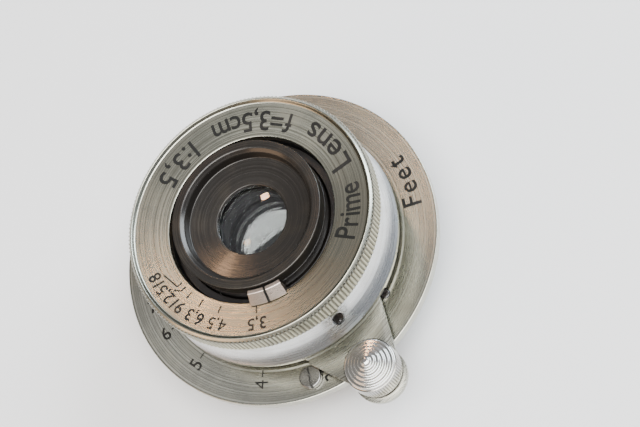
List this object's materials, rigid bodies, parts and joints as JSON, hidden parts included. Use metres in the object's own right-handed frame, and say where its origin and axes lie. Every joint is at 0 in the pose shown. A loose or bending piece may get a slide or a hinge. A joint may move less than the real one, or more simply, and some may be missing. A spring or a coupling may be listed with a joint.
{
  "type": "screw-mount prime camera lens",
  "caption": "Low wide-angle screw-mount lens: scale flange, focusing lever with button, cove barrel, knurled ring, black hood, iris and glass.",
  "frame": {"origin": "centre of the flange's rear seat, on the optical axis", "axes": "+Z optical axis towards the subject; the focusing lever points along -Y at infinity"},
  "size_m": [0.048, 0.0546, 0.0216],
  "materials": {
    "satin_nickel": "satin nickel plate on brass",
    "bright_chrome": "bright plate",
    "machined_brass": "bare machined brass",
    "black_enamel": "glossy black enamel",
    "tool_steel": "ground steel",
    "lens_glass": "polished uncoated optical glass"
  },
  "bodies": {
    "camera_mount": {"scale_flange": "satin_nickel", "thread_tube": "machined_brass", "flange_screw_1": "tool_steel", "flange_screw_2": "tool_steel", "flange_screw_3": "tool_steel", "stop_screw": "satin_nickel", "infinity_catch": "tool_steel", "catch_screw": "tool_steel", "cam_guide_key": "machined_brass", "key_screw": "tool_steel"},
    "drag_ring": {"drag_ring": "black_enamel"},
    "focusing_head": {"focusing_tube": "machined_brass", "focus_lever": "satin_nickel", "barrel_dowel_1": "tool_steel", "barrel_dowel_2": "tool_steel", "barrel_dowel_3": "tool_steel", "focus_barrel": "satin_nickel", "head_grub_screw": "black_enamel", "name_ring": "satin_nickel", "button_collar": "bright_chrome", "head_housing": "black_enamel", "iris_tube": "black_enamel", "hood_ring": "black_enamel", "front_cell": "machined_brass", "front_element": "lens_glass", "second_element": "lens_glass", "rear_cell": "machined_brass", "rear_doublet_front": "lens_glass", "rear_doublet_back": "lens_glass", "rear_retaining_ring": "black_enamel", "lock_spring": "tool_steel"},
    "aperture_control": {"aperture_ring": "black_enamel", "pointer_left": "satin_nickel", "pointer_right": "satin_nickel", "pointer_line": "black_enamel", "aperture_drive_screw": "tool_steel", "iris_cam_plate": "machined_brass"},
    "infinity_button": {"lock_button": "bright_chrome", "lock_plunger": "tool_steel"},
    "rangefinder_cam": {"rangefinder_cam": "machined_brass"},
    "blade_1": {"iris_blade_1": "tool_steel"},
    "blade_2": {"iris_blade_2": "tool_steel"},
    "blade_3": {"iris_blade_3": "tool_steel"},
    "blade_4": {"iris_blade_4": "tool_steel"},
    "blade_5": {"iris_blade_5": "tool_steel"},
    "blade_6": {"iris_blade_6": "tool_steel"}
  },
  "joints": [
    {"name": "focus_turn", "type": "hinge", "parent": "camera_mount", "child": "drag_ring", "pos_m": [0, 0, 0], "axis": [0, 0, 1], "range_deg": [0, 177]},
    {"name": "focus_advance", "type": "slide", "parent": "drag_ring", "child": "focusing_head", "axis": [0, 0, 1], "range_m": [0, 0.00132]},
    {"name": "cam_advance", "type": "slide", "parent": "camera_mount", "child": "rangefinder_cam", "axis": [0, 0, 1], "range_m": [0, 0.00291]},
    {"name": "aperture_turn", "type": "hinge", "parent": "focusing_head", "child": "aperture_control", "pos_m": [0, 0, 0], "axis": [0, 0, 1], "range_deg": [-64, 0]},
    {"name": "button_press", "type": "slide", "parent": "focusing_head", "child": "infinity_button", "axis": [0, 0, -1], "range_m": [0, 0.0005], "stiffness_N_per_m": 300, "springref_m": -0.001, "deforming": ["lock_spring"]},
    {"name": "blade_1_swing", "type": "hinge", "parent": "focusing_head", "child": "blade_1", "pos_m": [0.00808, 0.00294, 0.005], "axis": [0, 0, 1], "range_deg": [0, 27.3]},
    {"name": "blade_2_swing", "type": "hinge", "parent": "focusing_head", "child": "blade_2", "pos_m": [0.00149, 0.00847, 0.005], "axis": [0, 0, 1], "range_deg": [0, 27.3]},
    {"name": "blade_3_swing", "type": "hinge", "parent": "focusing_head", "child": "blade_3", "pos_m": [-0.00659, 0.00553, 0.005], "axis": [0, 0, 1], "range_deg": [0, 27.3]},
    {"name": "blade_4_swing", "type": "hinge", "parent": "focusing_head", "child": "blade_4", "pos_m": [-0.00808, -0.00294, 0.005], "axis": [0, 0, 1], "range_deg": [0, 27.3]},
    {"name": "blade_5_swing", "type": "hinge", "parent": "focusing_head", "child": "blade_5", "pos_m": [-0.00149, -0.00847, 0.005], "axis": [0, 0, 1], "range_deg": [0, 27.3]},
    {"name": "blade_6_swing", "type": "hinge", "parent": "focusing_head", "child": "blade_6", "pos_m": [0.00659, -0.00553, 0.005], "axis": [0, 0, 1], "range_deg": [0, 27.3]}
  ],
  "couplings": [
    {"joint": "focus_advance", "follows": "focus_turn", "m_per_rad": 0.00042664},
    {"joint": "cam_advance", "follows": "focus_turn", "m_per_rad": 0.00093874},
    {"joint": "blade_1_swing", "follows": "aperture_turn", "ratio": -0.42345},
    {"joint": "blade_2_swing", "follows": "aperture_turn", "ratio": -0.42345},
    {"joint": "blade_3_swing", "follows": "aperture_turn", "ratio": -0.42345},
    {"joint": "blade_4_swing", "follows": "aperture_turn", "ratio": -0.42345},
    {"joint": "blade_5_swing", "follows": "aperture_turn", "ratio": -0.42345},
    {"joint": "blade_6_swing", "follows": "aperture_turn", "ratio": -0.42345}
  ]
}
